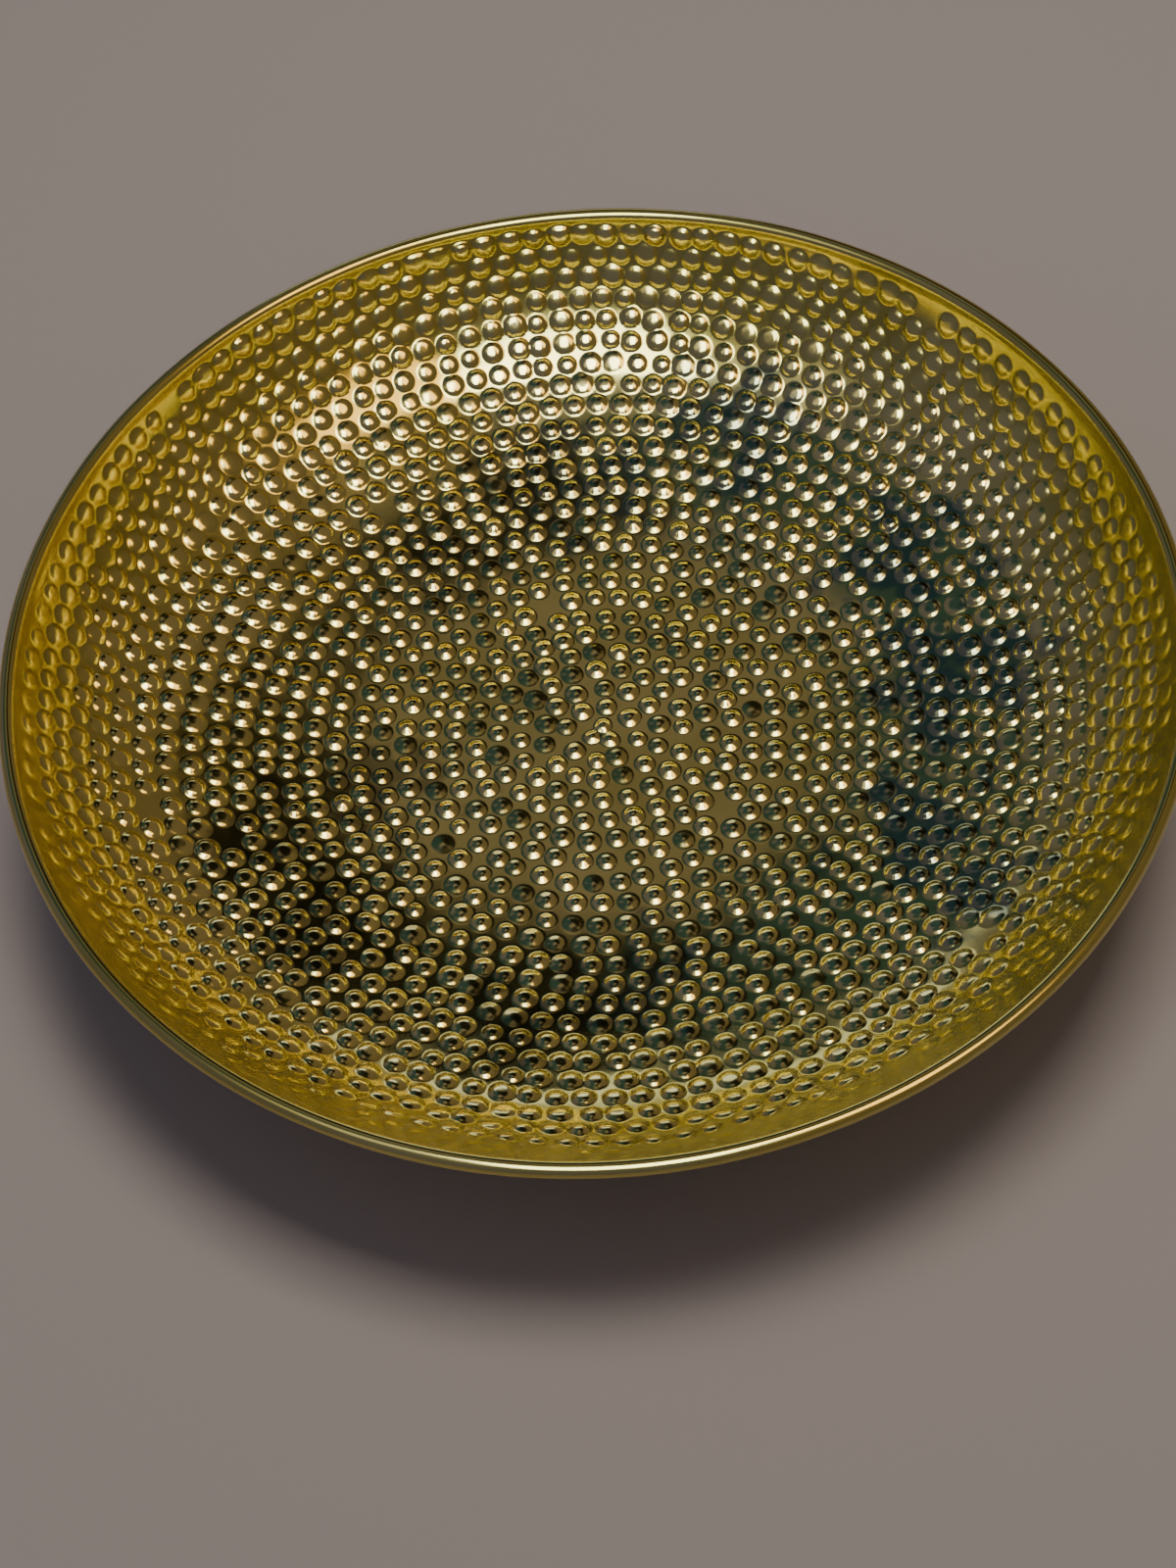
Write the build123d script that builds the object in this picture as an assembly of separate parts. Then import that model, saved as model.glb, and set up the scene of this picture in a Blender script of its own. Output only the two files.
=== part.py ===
from build123d import *
from math import cos, degrees, radians, sin
import os

# Round serving tray raised from one sheet of brass. The floor is gently dished, the wall
# curves up to a short neck, and the edge is curled outwards over a steel wire, so the rim
# is a round bead. The origin is the middle of the resting face, with +Z up through the rim.

# Driving dimensions, in millimetres and degrees.
outer_diameter = 350.0        # over the rim bead
sheet_thickness = 1.2
wire_diameter = 2.4           # stiffening wire inside the bead
wire_clearance = 0.05         # between the wire and the curl, all round
base_radius = 45.0            # flat middle of the floor, which the tray stands on
floor_edge_radius = 130.0     # where the dished floor turns into the wall
floor_edge_slope = 20.0       # slope of the sheet there, from level
wall_top_slope = 68.0         # slope of the sheet at the top of the wall
neck_bend_radius = 4.0        # bend from the wall up to the vertical neck
curl_sweep = 298.0            # how far the edge is curled round the wire
wire_butt_gap = 0.4           # between the two ends of the hoop of wire

# Worked out from those. A bend's radius is that of the sheet's upper side.
curl_inner_radius = wire_diameter / 2 + wire_clearance
curl_outer_radius = curl_inner_radius + sheet_thickness
bead_centre_radius = outer_diameter / 2 - curl_outer_radius
neck_radius = bead_centre_radius - curl_outer_radius


floor_edge_sine = sin(radians(floor_edge_slope))
wall_top_sine = sin(radians(wall_top_slope))
floor_bend_radius = (floor_edge_radius - base_radius) / floor_edge_sine
wall_top_radius = neck_radius - neck_bend_radius * (1 - wall_top_sine)
wall_bend_radius = (wall_top_radius - floor_edge_radius) / (wall_top_sine - floor_edge_sine)


def bend_centre(point, slope, radius):
    """The centre of a bend that passes through a point of the upper side at a slope."""
    turn = radians(slope)
    return (point[0] - radius * sin(turn), point[1] + radius * cos(turn))


def bend_point(centre, slope, radius):
    """The point of a bend at which the sheet has the given slope."""
    turn = radians(slope)
    return (centre[0] + radius * sin(turn), centre[1] - radius * cos(turn))


# Each bend is (centre, radius of the upper side, slope at its start, slope at its end).
floor_centre = bend_centre((base_radius, sheet_thickness), 0, floor_bend_radius)
floor_edge = bend_point(floor_centre, floor_edge_slope, floor_bend_radius)
wall_centre = bend_centre(floor_edge, floor_edge_slope, wall_bend_radius)
wall_top = bend_point(wall_centre, wall_top_slope, wall_bend_radius)
neck_centre = bend_centre(wall_top, wall_top_slope, neck_bend_radius)
bends = [
    (floor_centre, floor_bend_radius, 0, floor_edge_slope),
    (wall_centre, wall_bend_radius, floor_edge_slope, wall_top_slope),
    (neck_centre, neck_bend_radius, wall_top_slope, 90),
]
bead_centre = (bead_centre_radius, neck_centre[1])


def sheet_side(offset):
    """One side of the sheet, from the base to the neck, as arcs; offset is 0 on top."""
    return [
        CenterArc(centre, radius + offset, start - 90, end - start)
        for centre, radius, start, end in bends
    ]


def dish_section():
    """Half the section of the tray in the r-z plane: the sheet with its curled edge."""
    upper = sheet_side(0)
    lower = sheet_side(sheet_thickness)
    curl_outside = CenterArc(bead_centre, curl_outer_radius, 180, -curl_sweep)
    curl_inside = CenterArc(bead_centre, curl_inner_radius, 180, -curl_sweep)
    axis_line = Line((0, 0), (0, sheet_thickness))
    floor_top = Line((0, sheet_thickness), (base_radius, sheet_thickness))
    cut_edge = Line(curl_outside @ 1, curl_inside @ 1)
    floor_bottom = Line((base_radius, 0), (0, 0))
    outline = [axis_line, floor_top, *upper, curl_outside, cut_edge, curl_inside, *lower,
               floor_bottom]
    return make_face(Plane.XZ * Curve(outline))


def make_dish():
    """The raised sheet of brass, turned about the tray's axis."""
    return revolve(dish_section(), Axis.Z, 360)


def make_rim_wire():
    """The hoop of steel wire that the edge is curled over, with its two ends almost meeting."""
    section = Plane.XZ * Pos(*bead_centre) * Circle(wire_diameter / 2)
    gap_angle = degrees(wire_butt_gap / bead_centre_radius)
    hoop = revolve(section, Axis.Z, 360 - gap_angle)
    return Rot(0, 0, gap_angle / 2) * hoop


sub_parts = {
    "dish": make_dish(),
    "rim_wire": make_rim_wire(),
}

os.makedirs("parts", exist_ok=True)
for node, shape in sub_parts.items():
    shape.label = node
    export_step(shape, f"parts/{node}.step")
    box = shape.bounding_box()
    print(node, f"{box.size.X:.2f} x {box.size.Y:.2f} x {box.size.Z:.2f} mm")
print(f"floor bend {floor_bend_radius:.1f}, wall bend {wall_bend_radius:.1f} mm")
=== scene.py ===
import math

import bpy
import numpy as np
from mathutils import Matrix, Vector


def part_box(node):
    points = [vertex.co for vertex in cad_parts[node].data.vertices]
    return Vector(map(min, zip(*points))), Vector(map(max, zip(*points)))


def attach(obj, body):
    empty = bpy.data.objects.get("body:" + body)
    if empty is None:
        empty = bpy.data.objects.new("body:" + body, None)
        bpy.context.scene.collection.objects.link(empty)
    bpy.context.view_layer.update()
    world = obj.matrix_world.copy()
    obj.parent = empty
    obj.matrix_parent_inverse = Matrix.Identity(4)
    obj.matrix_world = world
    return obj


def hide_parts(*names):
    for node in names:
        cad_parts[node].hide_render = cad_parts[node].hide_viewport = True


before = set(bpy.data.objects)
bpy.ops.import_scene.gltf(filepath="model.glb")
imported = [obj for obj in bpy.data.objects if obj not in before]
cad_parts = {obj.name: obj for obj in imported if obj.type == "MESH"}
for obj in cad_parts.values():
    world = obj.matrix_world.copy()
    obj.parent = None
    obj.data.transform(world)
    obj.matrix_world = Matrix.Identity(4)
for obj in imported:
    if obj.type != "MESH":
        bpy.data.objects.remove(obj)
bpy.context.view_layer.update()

mm = 0.001
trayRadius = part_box("dish")[1].x
wireLow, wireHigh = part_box("rim_wire")
wireRadius = (wireHigh.z - wireLow.z) / 2
beadCentre = np.array([wireHigh.x - wireRadius, (wireHigh.z + wireLow.z) / 2])  # r and z
beadRadius = trayRadius - beadCentre[0]

# the sheet: what the section of the tray is bent to
dishShape = {
    "sheet": 1.2 * mm,
    "baseRadius": 45 * mm,       # flat middle of the floor
    "floorEdge": 130 * mm,       # radius at which the floor turns into the wall
    "floorSlope": 20.0,          # degrees from level, at the floor's edge
    "wallSlope": 68.0,           # degrees, at the top of the wall
    "neckBend": 4 * mm,
    "curlSweep": 298.0,          # degrees the edge turns round the wire
    "beadWobble": 0.05 * mm,     # unevenness of the curl
    "cell": 0.58 * mm,           # size of the facets on the upper side
    "smoothNeck": 2.5 * mm,      # the bumps and waves die out over this much of the neck
    "dullWall": (0.80, 0.92),    # tray radii between which the metal grows duller
    "wallDullness": 0.8,         # how much duller the wall is than the floor
    "beadDullness": 0.3,         # and the bead
}


# Arc lengths at which each bend ends, and the slope there. The slope grows evenly with
# arc length along a bend, so a bend's length is its radius times its turn.
def bendPlan(shape):
    floorTurn = math.radians(shape["floorSlope"])
    wallTop = math.radians(shape["wallSlope"])
    neckRadius = beadCentre[0] - beadRadius
    wallTopRadius = neckRadius - shape["neckBend"] * (1 - math.sin(wallTop))
    floorBend = (shape["floorEdge"] - shape["baseRadius"]) / math.sin(floorTurn)
    wallBend = (wallTopRadius - shape["floorEdge"]) / (math.sin(wallTop) - math.sin(floorTurn))
    lengths = [0, shape["baseRadius"], floorBend * floorTurn, wallBend * (wallTop - floorTurn),
               shape["neckBend"] * (math.pi / 2 - wallTop)]
    return np.cumsum(lengths), np.array([0, 0, floorTurn, wallTop, math.pi / 2])


bendEnds, bendSlopes = bendPlan(dishShape)
wallTopAt = bendEnds[3]
neckTopAt = bendEnds[4]

# r and z along the upper side are the running sums of the slope's cosine and sine
sideTable = np.linspace(0, neckTopAt, 4001)
tableSlope = np.interp(sideTable, bendEnds, bendSlopes)
tableStep = sideTable[1]
middleSlope = (tableSlope[1:] + tableSlope[:-1]) / 2
tableR = np.concatenate([[0], np.cumsum(np.cos(middleSlope)) * tableStep])
tableZ = np.concatenate([[0], np.cumsum(np.sin(middleSlope)) * tableStep]) + dishShape["sheet"]


# r, z and slope of the smooth upper side at arc lengths from the middle, read off the table.
def sideAt(along):
    return (np.interp(along, sideTable, tableR), np.interp(along, sideTable, tableZ),
            np.interp(along, bendEnds, bendSlopes))


# the punched bumps: rings of them, each struck by hand from below
bumpPlan = {
    "rowPitch": 7.3 * mm,        # from ring to ring along the sheet
    "bumpPitch": 7.9 * mm,       # from bump to bump round a ring
    "firstRow": 3.4 * mm,        # centre of the top ring below the top of the wall, at the +Y side
    "firstRowDrop": 2.6 * mm,    # how much lower the top ring runs elsewhere
    "firstRowFade": 0.6,         # how much shallower the top ring is elsewhere
    "firstRowRaise": 1.6,        # how much higher its bumps are than the next rings', at that side
    "alignedRows": 4,            # top rings whose bumps stand in columns
    "alignedRadius": 0.96,       # share of the wall's top radius where they are spaced by the pitch
    "alignedTurn": 0.02,         # radians, from each of them to the next
    "innermost": 0.35,           # ring pitches from the middle within which no ring is struck
    "radius": 3.5 * mm,
    "zones": (0.45, 0.68),       # tray radii where the middle ends and the outside begins
    "height": (0.95 * mm, 1.0 * mm),    # of the bumps in the middle and outside
    "crown": (2.1, 3.2),         # higher is flatter on top and steeper at the edge
    "foot": (1.7, 1.05),         # higher is softer where the bump meets the sheet
    "alignedShare": 0.8,         # height of those rings' bumps, of the others'
    "nearShare": 0.5,            # and of that at the -Y side
    "missing": 0.006,            # share of the bumps that were never struck
    "leastCrown": 1.9,
    "seed": 14,
}

# how unevenly the bumps are struck: the spread of each measure, and its limits
strayPlan = {
    "rowPitch": 0.035,           # of the pitch
    "angle": 0.055,              # of the space between bumps
    "drift": 0.28 * mm,
    "radius": (0.075, 0.8, 1.18),
    "height": (0.2, 0.3, 1.45),
    "crown": (0.8, 1.25),        # from and to
    "wander": (0.7 * mm, 0.5 * mm),    # of a ring from its circle: once round, and twice
    "wanderTurn": 40 * mm,       # how far along the sheet that takes to turn by a radian
}


# Numbers scattered about 1 by a spread, most of them near it, and held to their limits.
def spreadAbout(rng, spread, least, most, count):
    return rng.normal(1, spread, count).clip(least, most)


# One entry for each ring, from the wall's top inwards: its place along the sheet, which
# falls by a pitch each time, and for each of its bumps the angle, the drift along the
# sheet, the radius, the height and the crown.
def punchRings(plan, stray):
    rng = np.random.default_rng(plan["seed"])
    rings = []
    place = wallTopAt - plan["firstRow"]
    number = 0
    while place > plan["rowPitch"] * plan["innermost"]:
        radiusHere = sideAt(place)[0]
        if number < plan["alignedRows"]:
            alignedRadius = sideAt(wallTopAt)[0] * plan["alignedRadius"]
            count = round(2 * math.pi * alignedRadius / plan["bumpPitch"])
            start = plan["alignedTurn"] * number
        else:
            count = max(3, round(2 * math.pi * radiusHere / plan["bumpPitch"]))
            start = rng.uniform(0, 2 * math.pi)
        spacing = 2 * math.pi / count
        angle = start + np.arange(count) * spacing + rng.normal(0, stray["angle"], count) * spacing
        away = 1 - np.clip(np.sin(angle), 0, 1) ** 2    # 0 at the +Y side, 1 on the others
        share = max(0, 1 - number / plan["alignedRows"])
        height, crown, foot = (np.interp(radiusHere / trayRadius, plan["zones"], plan[name])
                               for name in ("height", "crown", "foot"))
        rings.append({
            "place": place,
            "start": start,
            "angle": angle,
            "drift": rng.normal(0, stray["drift"], count) - plan["firstRowDrop"] * share * away,
            "radius": plan["radius"] * spreadAbout(rng, *stray["radius"], count),
            "height": height * spreadAbout(rng, *stray["height"], count)
            * (rng.random(count) > plan["missing"]),
            "crown": (crown * rng.uniform(*stray["crown"], count)).clip(plan["leastCrown"]),
            "foot": foot,
        })
        if number < plan["alignedRows"]:
            nearness = np.clip(-np.sin(angle), 0, 1) ** 2
            rings[number]["height"] *= plan["alignedShare"] * (1 - (1 - plan["nearShare"]) * nearness)
        if number == 0:
            rings[0]["height"] *= plan["firstRowRaise"] * (1 - plan["firstRowFade"] * away)
        place -= plan["rowPitch"] * rng.normal(1, stray["rowPitch"])
        number += 1
    return rings


rings = punchRings(bumpPlan, strayPlan)
print("punched bumps:", sum(len(ring["angle"]) for ring in rings), "in", len(rings), "rings")


# How far a ring strays from a true circle: two slow waves that turn with the place.
def ringWander(angle, place):
    turn = place / strayPlan["wanderTurn"]
    once, twice = strayPlan["wander"]
    return once * np.sin(angle + 0.6 + turn) + twice * np.sin(2 * angle + 2.1 - turn)


# The same angle between minus and plus half a turn.
def wrapped(angle):
    return (angle + math.pi) % (2 * math.pi) - math.pi


# Height of the punched bumps over a grid of arc lengths by angles. A bump is
# height * (1 - u^crown)^foot where u is the distance from its middle over its radius;
# where bumps meet, the higher one counts.
def bumpHeight(along, angle):
    height = np.zeros((len(along), len(angle)))
    radiusHere = sideAt(along)[0]
    reach = bumpPlan["radius"] * 1.2 + bumpPlan["firstRowDrop"] + 2 * mm    # no bump strays further
    for ring in rings:
        rows = np.flatnonzero(np.abs(along - ring["place"]) < reach)
        if len(rows) == 0:
            continue
        count = len(ring["angle"])
        nearest = np.rint((angle - ring["start"]) / (2 * math.pi / count)).astype(int)
        for shift in (-1, 0, 1):
            bump = (nearest + shift) % count
            across = wrapped(angle - ring["angle"][bump])[None, :] * radiusHere[rows][:, None]
            wander = ringWander(ring["angle"][bump], ring["place"])
            centre = ring["place"] + ring["drift"][bump] + wander
            up = along[rows][:, None] - centre[None, :]
            u = np.hypot(across, up) / ring["radius"][bump][None, :]
            dome = np.clip(1 - u ** ring["crown"][bump][None, :], 0, 1) ** ring["foot"]
            height[rows] = np.maximum(height[rows], dome * ring["height"][bump][None, :])
    return height


# unevenness of the beaten sheet
wavePlan = {
    "count": 36,
    "lengths": (14, 70),         # mm, shortest and longest
    "steepness": 0.0011,         # height over length
    "seed": 5,
}
waveRng = np.random.default_rng(wavePlan["seed"])
waveLength = waveRng.uniform(*wavePlan["lengths"], wavePlan["count"]) * mm
waveTurn = waveRng.uniform(0, 2 * math.pi, wavePlan["count"])
wavePhase = waveRng.uniform(0, 2 * math.pi, wavePlan["count"])
waveSize = wavePlan["steepness"] * waveLength


# A sum of slow waves in many directions, each as high as a fixed share of its length.
def beatenHeight(x, y):
    total = np.zeros_like(x)
    for length, turn, phase, size in zip(waveLength, waveTurn, wavePhase, waveSize):
        across = x * math.cos(turn) + y * math.sin(turn)
        total += size * np.sin(across * 2 * math.pi / length + phase)
    return total


# Points of the sheet at arc lengths by angles, at a depth under the upper side. The
# smooth section is turned about Z and moved along its normal by the bumps and waves. With
# them goes a value for the finish: the bumps' height over the usual, less the dullness.
def sheetPoints(along, angle, depth):
    r, z, slope = (value[:, None] for value in sideAt(along))
    cosA, sinA = np.cos(angle)[None, :], np.sin(angle)[None, :]
    fade = np.clip((neckTopAt - along) / dishShape["smoothNeck"], 0, 1)[:, None]
    fade = fade * fade * (3 - 2 * fade)
    bumps = bumpHeight(along, angle)
    calm = np.clip(along / dishShape["baseRadius"] - 1, 0, 1)[:, None] ** 2    # a level middle
    lift = fade * (bumps + calm * beatenHeight(r * cosA, r * sinA)) - depth
    outR = r - lift * np.sin(slope)
    points = np.stack([outR * cosA, outR * sinA, z + lift * np.cos(slope)], -1)
    dullFrom, dullTo = dishShape["dullWall"]
    wall = np.clip((r / trayRadius - dullFrom) / (dullTo - dullFrom), 0, 1)
    return points, fade * bumps / bumpPlan["height"][1] - dishShape["wallDullness"] * wall


# A skin over a stack of rings, each of the same number of points: quads between
# neighbouring rings, and where poles is set a fan from one point at either end.
def meshFromRings(name, points, values, sharpRings, poles, closed):
    rows, columns = points.shape[:2]
    vertices = points.reshape(-1, 3)
    data = values.reshape(-1)
    index = np.arange(rows * columns).reshape(rows, columns)
    if closed:
        index = np.vstack([index, index[:1]])
    a, b = index[:-1], index[1:]
    quads = np.stack([a, b, np.roll(b, -1, 1), np.roll(a, -1, 1)], -1).reshape(-1, 4)
    corners = [quads.ravel()]
    sizes = [np.full(len(quads), 4)]
    if poles:
        for ring, tip, turn in ((index[0], rows * columns, 1), (index[-1], rows * columns + 1, -1)):
            fan = np.stack([np.full(columns, tip), ring, np.roll(ring, -1)][::turn], -1)
            corners.append(fan.ravel())
            sizes.append(np.full(columns, 3))
        vertices = np.vstack([vertices, points[0].mean(0), points[-1].mean(0)])
        data = np.concatenate([data, [values[0].mean(), values[-1].mean()]])
    corners, sizes = np.concatenate(corners), np.concatenate(sizes)
    mesh = bpy.data.meshes.new(name)
    mesh.vertices.add(len(vertices))
    mesh.vertices.foreach_set("co", vertices.astype(np.float32).ravel())
    mesh.loops.add(len(corners))
    mesh.loops.foreach_set("vertex_index", corners.astype(np.int32))
    mesh.polygons.add(len(sizes))
    mesh.polygons.foreach_set("loop_start", (np.cumsum(sizes) - sizes).astype(np.int32))
    mesh.polygons.foreach_set("use_smooth", np.ones(len(sizes), bool))
    mesh.update(calc_edges=True)
    crown = mesh.attributes.new("crown", "FLOAT", "POINT")
    crown.data.foreach_set("value", data.astype(np.float32))
    ends = np.zeros(len(mesh.edges) * 2, np.int32)
    mesh.edges.foreach_get("vertices", ends)
    ringOf = ends.reshape(-1, 2) // columns
    sharp = (ringOf[:, 0] == ringOf[:, 1]) & np.isin(ringOf[:, 0], sharpRings)
    edgeMark = mesh.attributes.new("sharp_edge", "BOOLEAN", "EDGE")
    edgeMark.data.foreach_set("value", sharp)
    piece = bpy.data.objects.new(name, mesh)
    bpy.context.scene.collection.objects.link(piece)
    return piece


# Arc lengths from start to end, both counted, about a step apart.
def evenly(start, end, step):
    return np.linspace(start, end, max(3, round(abs(end - start) / step) + 1))


# Columns for a ring at an arc length: its length round over the cell, a multiple of 4.
def columnsAt(along):
    return int(round(2 * math.pi * sideAt(along)[0] / dishShape["cell"] / 4) * 4)


# The angles of so many columns, evenly round.
def anglesRound(columns):
    return np.arange(columns) * 2 * math.pi / columns


# The upper side from start to end and the underside back again, as rows of points, with
# the finish's value. The underside has rows twice as far apart.
def bothSides(start, end, angle):
    upper, upperValues = sheetPoints(evenly(start, end, dishShape["cell"]), angle, 0)
    lower = sheetPoints(evenly(end, start, 2 * dishShape["cell"]), angle, dishShape["sheet"])[0]
    return upper, upperValues, lower


# A band of the dish between two arc lengths, with its underside and its two cut edges; or,
# with no start, the middle of the floor, a disc with a point at its centre on both sides.
def makeBand(name, start, end):
    angle = anglesRound(columnsAt(end))
    disc = start is None
    upper, upperValues, lower = bothSides(dishShape["cell"] / 2 if disc else start, end, angle)
    points = np.concatenate([upper, lower])
    values = np.concatenate([upperValues, np.zeros(lower.shape[:2])])
    sharpRings = [len(upper) - 1, len(upper)] + ([] if disc else [0, len(points) - 1])
    return meshFromRings(name, points, values, sharpRings, poles=disc, closed=not disc)


# The top of the wall, the neck and the edge curled round the wire. The curl is an arc
# of the bead's radius outside and of the wire's side inside, with a cut edge between. Its
# radius wobbles round the rim, most at the middle of the curl and not at all at its ends.
def makeRim(name, start, columns):
    angle = anglesRound(columns)
    cosA, sinA = np.cos(angle)[None, :], np.sin(angle)[None, :]
    sweep = math.radians(dishShape["curlSweep"])
    upper, upperValues, lower = bothSides(start, neckTopAt, angle)

    def arc(radius, turns):
        turns = turns[:, None]
        wobble = (np.sin(7 * angle + 1.0) + np.sin(17 * angle + 2.0))[None, :]
        wobble = dishShape["beadWobble"] * wobble * np.sin(turns / sweep * math.pi)
        r = beadCentre[0] - (radius + wobble) * np.cos(turns)
        z = beadCentre[1] + (radius + wobble) * np.sin(turns)
        return np.stack([r * cosA, r * sinA, z + 0 * r], -1)

    outside = arc(beadRadius, np.linspace(0, sweep, 30)[1:])
    inside = arc(beadRadius - dishShape["sheet"], np.linspace(sweep, 0, 14)[:-1])
    points = np.concatenate([upper, outside, inside, lower])
    values = np.full(points.shape[:2], -dishShape["beadDullness"])
    values[:len(upper)] = upperValues
    cut = len(upper) + len(outside)
    sharpRings = [0, cut - 1, cut, len(points) - 1]
    return meshFromRings(name, points, values, sharpRings, poles=False, closed=True)


# where each band ends along the sheet
bandPlan = {
    "dish_floor_middle": 48 * mm,
    "dish_floor_inner": 84 * mm,
    "dish_floor_outer": 112 * mm,
    "dish_floor_edge": 134 * mm,
    "dish_bend": 155 * mm,
    "dish_wall_lower": 174 * mm,
    "dish_wall_upper": wallTopAt - 4 * mm,
}
rimColumns = 1600

dishPieces = []
bandStart = None
for bandName, bandEnd in bandPlan.items():
    dishPieces.append(makeBand(bandName, bandStart, bandEnd))
    bandStart = bandEnd
dishPieces.append(makeRim("dish_rim", bandStart, rimColumns))
for piece in dishPieces:
    print(piece.name, "triangles", len(piece.data.loops) - 2 * len(piece.data.polygons))


# Puts a node's output or a plain value into a socket.
def feed(tree, value, socket):
    if isinstance(value, bpy.types.NodeSocket):
        tree.links.new(value, socket)
    else:
        socket.default_value = value


# A sum, product or other operation, by the name that Blender gives it, on plain numbers or
# nodes' outputs.
def worked(tree, operation, *values):
    node = tree.nodes.new("ShaderNodeMath")
    node.operation = operation
    for socket, value in zip(node.inputs, values):
        feed(tree, value, socket)
    return node.outputs[0]


# The same for directions and places; a distance or dot product comes out as one number.
def vectorWorked(tree, operation, *values):
    node = tree.nodes.new("ShaderNodeVectorMath")
    node.operation = operation
    for socket, value in zip(node.inputs, values):
        feed(tree, value, socket)
    return node.outputs["Value" if operation in ("DISTANCE", "DOT_PRODUCT") else "Vector"]


# 0 at low and 1 at high, even or easing in and out.
def ranged(tree, value, low, high, easing="SMOOTHSTEP"):
    node = tree.nodes.new("ShaderNodeMapRange")
    node.interpolation_type = easing
    feed(tree, value, node.inputs["Value"])
    node.inputs["From Min"].default_value = low
    node.inputs["From Max"].default_value = high
    return node.outputs["Result"]


# One colour turned to another by a factor.
def mixed(tree, factor, under, over):
    node = tree.nodes.new("ShaderNodeMix")
    node.data_type = "RGBA"
    for name, value in (("Factor", factor), ("A", under), ("B", over)):
        feed(tree, value, node.inputs[name])
    return node.outputs["Result"]


# The largest of several numbers: inside any of the places they stand for.
def insideAny(tree, shares):
    largest = shares[0]
    for share in shares[1:]:
        largest = worked(tree, "MAXIMUM", largest, share)
    return largest


# Fractal noise at a place: layers of smooth noise, each half as large and as strong as the
# one before. It comes out as a number or as a colour.
def noised(tree, place, scale, detail, output="Fac"):
    node = tree.nodes.new("ShaderNodeTexNoise")
    node.inputs["Scale"].default_value = scale
    node.inputs["Detail"].default_value = detail
    feed(tree, place, node.inputs["Vector"])
    return node.outputs[output]


# A new metal with its shader, ready for a colour and a roughness.
def newMetal(name):
    material = bpy.data.materials.new(name)
    material.use_nodes = True
    shader = material.node_tree.nodes["Principled BSDF"]
    shader.inputs["Metallic"].default_value = 1
    return material, material.node_tree, shader


# the brass
brassLook = {
    "bright": (0.78, 0.68, 0.28, 1),
    "dull": (0.46, 0.39, 0.09, 1),
    "roughTop": 0.12,
    "roughHollow": 0.21,
    "crownShine": 0.5,           # how much brighter a bump's top is than the sheet
    "patchSize": 45 * mm,        # size of the duller patches
    # painted reflection: places where dark and teal patches are painted into the brass for the room's
    # dark and blue things mirrored in it; x, y and radius, in tray radii
    "paintedReflectionPlaces": [(-0.52, -0.38, 0.1), (-0.38, -0.05, 0.09), (-0.59, -0.19, 0.09), (-0.21, -0.59, 0.08),
                (0.33, 0.62, 0.11), (-0.04, 0.57, 0.12), (0.59, 0.29, 0.1), (0.63, 0.02, 0.13),
                (0.52, -0.3, 0.1), (0.59, -0.49, 0.07), (-0.02, -0.54, 0.09), (-0.25, 0.44, 0.08)],
    # colours of the painted reflection: dark, and teal towards +X
    "paintedReflectionDark": (0.20, 0.17, 0.07, 1),
    "paintedReflectionBlue": (0.13, 0.19, 0.17, 1),
    "blueFrom": (-0.15, 0.2),    # tray radii towards +X over which the painted reflection turns from dark to blue
    "paintedReflectionShare": 0.7,         # how much of the brass's colour the painted reflection takes
    "paintedReflectionRagged": 0.65,       # how far its edges wander, in tray radii
    "paintedReflectionGrain": 13,          # how finely
    "paintedReflectionEdge": (0.37, 0.26),    # added to the radius: where it begins and where it is full
}


# The colour turned towards painted reflection inside the patches: dark, and blue towards +X, standing
# for dark and blue things of the room mirrored in the brass.
# A point is in one when its level distance from that place's middle, made ragged by a noise, is under
# its radius.
def withPaintedReflection(tree, look, place, colour):
    level = vectorWorked(tree, "MULTIPLY", place, (1 / trayRadius, 1 / trayRadius, 0))
    noise = noised(tree, level, look["paintedReflectionGrain"], 5)
    outer, inner = look["paintedReflectionEdge"]
    shares = []
    for x, y, radius in look["paintedReflectionPlaces"]:
        away = vectorWorked(tree, "DISTANCE", level, (x, y, 0))
        ragged = worked(tree, "MULTIPLY_ADD", noise, look["paintedReflectionRagged"], away)
        shares.append(ranged(tree, ragged, radius + outer, radius + inner))
    share = worked(tree, "MULTIPLY", insideAny(tree, shares), look["paintedReflectionShare"])
    across = tree.nodes.new("ShaderNodeSeparateXYZ")
    feed(tree, level, across.inputs[0])
    side = ranged(tree, across.outputs["X"], *look["blueFrom"], easing="LINEAR")
    return mixed(tree, share, colour, mixed(tree, side, look["paintedReflectionDark"], look["paintedReflectionBlue"]))


# Brass: brighter and smoother on the bumps, duller between them. The dullness is a slow
# noise less a share of the crown attribute. Over the colour go patches of painted reflection.
def brassFinish(look):
    material, tree, shader = newMetal("hammered_brass")
    place = tree.nodes.new("ShaderNodeTexCoord").outputs["Object"]
    crown = tree.nodes.new("ShaderNodeAttribute")
    crown.attribute_name = "crown"
    cloud = noised(tree, place, 1 / look["patchSize"], 5)
    dullness = worked(tree, "MULTIPLY_ADD", crown.outputs["Fac"], -look["crownShine"], cloud)
    dullness.node.use_clamp = True
    colour = mixed(tree, dullness, look["bright"], look["dull"])
    # painted reflection: dark and teal patches laid over the brass's colour
    feed(tree, withPaintedReflection(tree, look, place, colour), shader.inputs["Base Color"])
    rough = tree.nodes.new("ShaderNodeMapRange")
    rough.inputs["To Min"].default_value = look["roughTop"]
    rough.inputs["To Max"].default_value = look["roughHollow"]
    feed(tree, dullness, rough.inputs["Value"])
    feed(tree, rough.outputs["Result"], shader.inputs["Roughness"])
    return material


# the wire
steelLook = {
    "dark": (0.30, 0.28, 0.26, 1),
    "light": (0.50, 0.49, 0.47, 1),
    "roughness": 0.4,
    "grain": 300,
}


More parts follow.
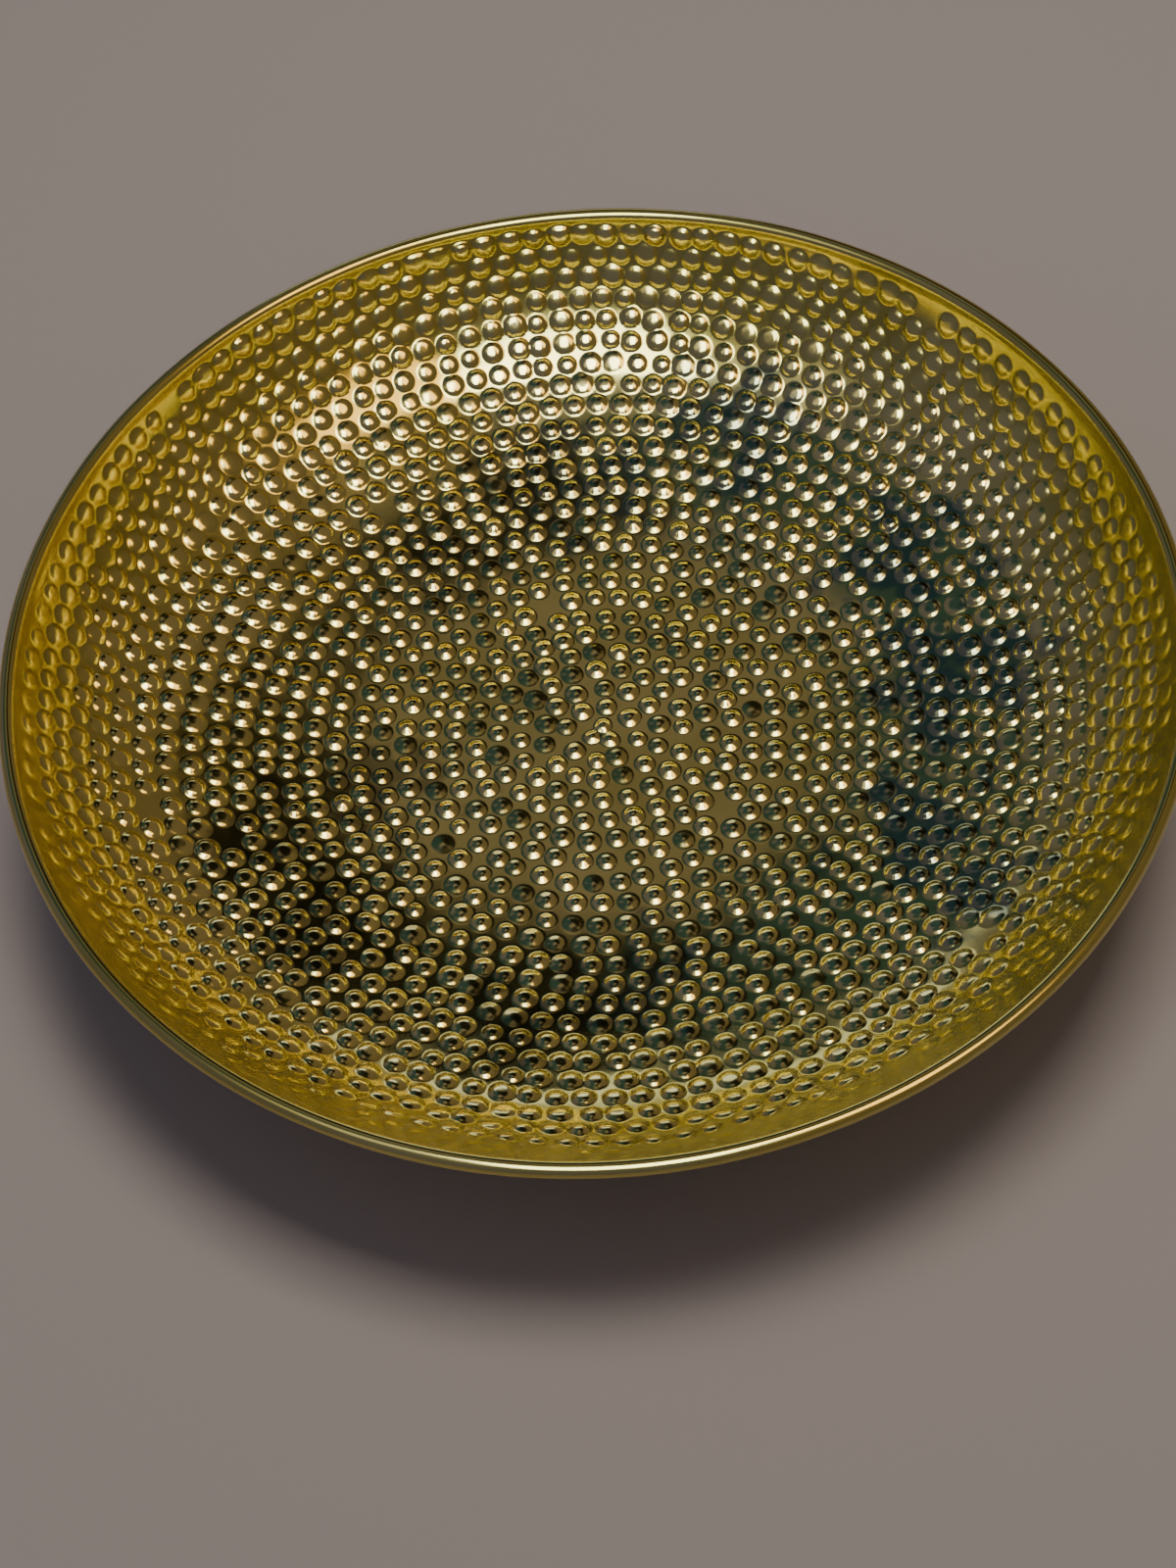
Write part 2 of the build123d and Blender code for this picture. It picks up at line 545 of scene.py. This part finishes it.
# Steel wire: a grey that varies a little along it, by a fine noise.
def steelFinish(look):
    material, tree, shader = newMetal("steel_wire")
    place = tree.nodes.new("ShaderNodeTexCoord").outputs["Object"]
    grey = mixed(tree, noised(tree, place, look["grain"], 2), look["dark"], look["light"])
    feed(tree, grey, shader.inputs["Base Color"])
    shader.inputs["Roughness"].default_value = look["roughness"]
    return material


brass = brassFinish(brassLook)
for piece in dishPieces:
    piece.data.materials.append(brass)
    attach(piece, "root")
    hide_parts("dish")
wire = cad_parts["rim_wire"]
wire.data.materials.clear()
wire.data.materials.append(steelFinish(steelLook))
print("finished:", len(dishPieces), "brass pieces and the steel wire")

# floor, lights, room and camera
studio = {
    "floorColour": (0.50, 0.45, 0.41, 1),
    "floorSize": 6.0,
}
floorMesh = bpy.data.meshes.new("studio_floor")
half = studio["floorSize"] / 2
floorCorners = [(-half, -half, 0), (half, -half, 0), (half, half, 0), (-half, half, 0)]
floorMesh.from_pydata(floorCorners, [], [(0, 1, 2, 3)])
floor = bpy.data.objects.new("studio_floor", floorMesh)
bpy.context.scene.collection.objects.link(floor)
floorPaint = bpy.data.materials.new("floor_paint")
floorPaint.use_nodes = True
floorShader = floorPaint.node_tree.nodes["Principled BSDF"]
floorShader.inputs["Base Color"].default_value = studio["floorColour"]
floorShader.inputs["Roughness"].default_value = 1.0
floorShader.inputs["Specular IOR Level"].default_value = 0.0
floorMesh.materials.append(floorPaint)

# each light: tilt from straight up towards +X and +Y in degrees, its width and depth in
# degrees as seen from the tray, how bright it looks, its colour, and what it shines on
lightPlan = {
    "main_light": (-1, -17, 22, 31, 10.0, (0.95, 1.0, 0.88), "brass"),
    "warm_light": (20, -12, 20, 32, 4.2, (1.0, 0.64, 0.24), "brass"),
    "cream_light": (-20, -10, 16, 30, 0.6, (1.0, 0.95, 0.80), "brass"),
    "far_light": (-8, 72, 26, 9, 1.3, (0.90, 0.97, 1.0), "brass"),
    "shadow_light": (5, 9, 26, 20, 8.3, (1.0, 0.92, 0.85), "floor"),
}
lightDistance = 1.6              # metres


# Unit vector tilted from straight up by tiltX degrees towards +X and tiltY towards +Y.
def tilted(tiltX, tiltY):
    return Vector((math.tan(math.radians(tiltX)), math.tan(math.radians(tiltY)), 1)).normalized()


# A rectangular soft light facing the tray. Its power is brightness times pi times area.
# Those for the brass make its highlights, and the one for the floor makes the shadow.
def softLight(name, tiltX, tiltY, wide, deep, brightness, colour, shinesOn):
    direction = tilted(tiltX, tiltY)
    data = bpy.data.lights.new(name, "AREA")
    data.shape = "RECTANGLE"
    data.size = 2 * lightDistance * math.tan(math.radians(wide / 2))
    data.size_y = 2 * lightDistance * math.tan(math.radians(deep / 2))
    data.energy = brightness * math.pi * data.size * data.size_y
    data.color = colour
    lamp = bpy.data.objects.new(name, data)
    lamp.location = direction * lightDistance
    lamp.rotation_mode = "QUATERNION"
    lamp.rotation_quaternion = direction.to_track_quat("Z", "Y")
    lamp.visible_diffuse = shinesOn == "floor"      # the brass is all gloss, the floor has none
    lamp.visible_glossy = shinesOn == "brass"
    bpy.context.scene.collection.objects.link(lamp)


for lightName, values in lightPlan.items():
    softLight(lightName, *values)
print("lights:", ", ".join(lightPlan))

# the room: dim, warmer towards +X, with dark things standing round and above the tray,
# each given by its tilt towards +X and +Y and its half width in degrees
room = {
    "dimColour": (0.135, 0.135, 0.20, 1),
    "warmColour": (0.17, 0.135, 0.10, 1),
    "darkColour": (0.010, 0.010, 0.008, 1),
    "blueColour": (0.028, 0.070, 0.11, 1),
    "darkThings": [(0, 13, 8), (-14, 15, 9), (-24, 30, 11), (-14, 42, 7), (-24, 55, 9), (-8, 50, 8),
                   (1, 55, 7), (10, 60, 9), (18, 49, 11), (19, 36, 7), (8, 22, 6)],
    "ceilingColour": (0.25, 0.215, 0.205, 1),
    "ceilingTilt": (0, 36),      # a lighter stretch of ceiling, ringed by the dark things
    "ceilingFades": (5, 14),     # degrees from its middle
    "warmFrom": (0.02, 0.35),    # shares of a direction towards +X where the room turns warm
    "blueFrom": (0.02, -0.12),   # and where the dark things turn blue
    "raggedness": 0.14,          # how far their outlines wander
    "raggedScale": 9.0,
    "edgeFade": (2.5, 1.5),      # degrees outside and inside their outlines
}


# The room's colour in a direction: the dim colour turning to the warm one towards +X, and
# the dark or blue one inside any dark thing, by the angle to its middle; the direction is
# first moved a little by a noise so the outlines are ragged.
def makeRoom(plan):
    world = bpy.data.worlds.new("room")
    bpy.context.scene.world = world
    world.use_nodes = True
    tree = world.node_tree
    place = tree.nodes.new("ShaderNodeTexCoord").outputs["Generated"]
    noise = noised(tree, place, plan["raggedScale"], 3, output="Color")
    moved = vectorWorked(tree, "MULTIPLY_ADD", noise, [plan["raggedness"]] * 3, place)
    centred = vectorWorked(tree, "SUBTRACT", moved, [plan["raggedness"] / 2] * 3)
    ragged = vectorWorked(tree, "NORMALIZE", centred)
    fadeOut, fadeIn = plan["edgeFade"]
    shares = []
    for tiltX, tiltY, halfWidth in plan["darkThings"]:
        towards = vectorWorked(tree, "DOT_PRODUCT", ragged, tilted(tiltX, tiltY))
        edge = [math.cos(math.radians(a)) for a in (halfWidth + fadeOut, max(halfWidth - fadeIn, 0))]
        shares.append(ranged(tree, towards, *edge))
    across = tree.nodes.new("ShaderNodeSeparateXYZ")
    feed(tree, place, across.inputs[0])
    warm = ranged(tree, across.outputs["X"], *plan["warmFrom"])
    blue = ranged(tree, across.outputs["X"], *plan["blueFrom"])
    full, gone = (math.cos(math.radians(a)) for a in plan["ceilingFades"])
    towards = vectorWorked(tree, "DOT_PRODUCT", place, tilted(*plan["ceilingTilt"]))
    dim = mixed(tree, warm, plan["dimColour"], plan["warmColour"])
    dim = mixed(tree, ranged(tree, towards, gone, full), dim, plan["ceilingColour"])
    dark = mixed(tree, blue, plan["darkColour"], plan["blueColour"])
    colour = mixed(tree, insideAny(tree, shares), dim, dark)
    feed(tree, colour, tree.nodes["Background"].inputs["Color"])
    tree.nodes["Background"].inputs["Strength"].default_value = 1


makeRoom(room)
print("room:", len(room["darkThings"]), "dark things")

cameraView = {
    "elevation": 56.330,         # degrees above the rim's plane, looking along +Y
    "roll": -6.138,              # degrees
    "distance": 3.8614,          # tray radii, from the aimed point
    "aim": (-0.0315, -0.3117),   # tray radii, in the rim's plane
    "lens": 55.1,                # mm, on a frame 36 mm long
}


# The camera stands back from the aimed point along its view, raised by the elevation and
# then turned about that line by the roll.
def makeCamera(view):
    e, roll = math.radians(view["elevation"]), math.radians(view["roll"])
    back = Vector((0, -math.cos(e), math.sin(e)))
    level = Vector((1, 0, 0))
    upright = back.cross(level)
    right = level * math.cos(roll) + upright * math.sin(roll)
    up = upright * math.cos(roll) - level * math.sin(roll)
    aim = Vector((view["aim"][0] * trayRadius, view["aim"][1] * trayRadius, beadCentre[1]))
    data = bpy.data.cameras.new("camera")
    data.lens = view["lens"]
    data.sensor_width = 36       # mm, its longer side
    camera = bpy.data.objects.new("camera", data)
    turn = Matrix((right, up, back)).transposed().to_4x4()
    camera.matrix_world = Matrix.Translation(aim + back * view["distance"] * trayRadius) @ turn
    bpy.context.scene.collection.objects.link(camera)
    bpy.context.scene.camera = camera


makeCamera(cameraView)

bpy.context.view_layer.update()
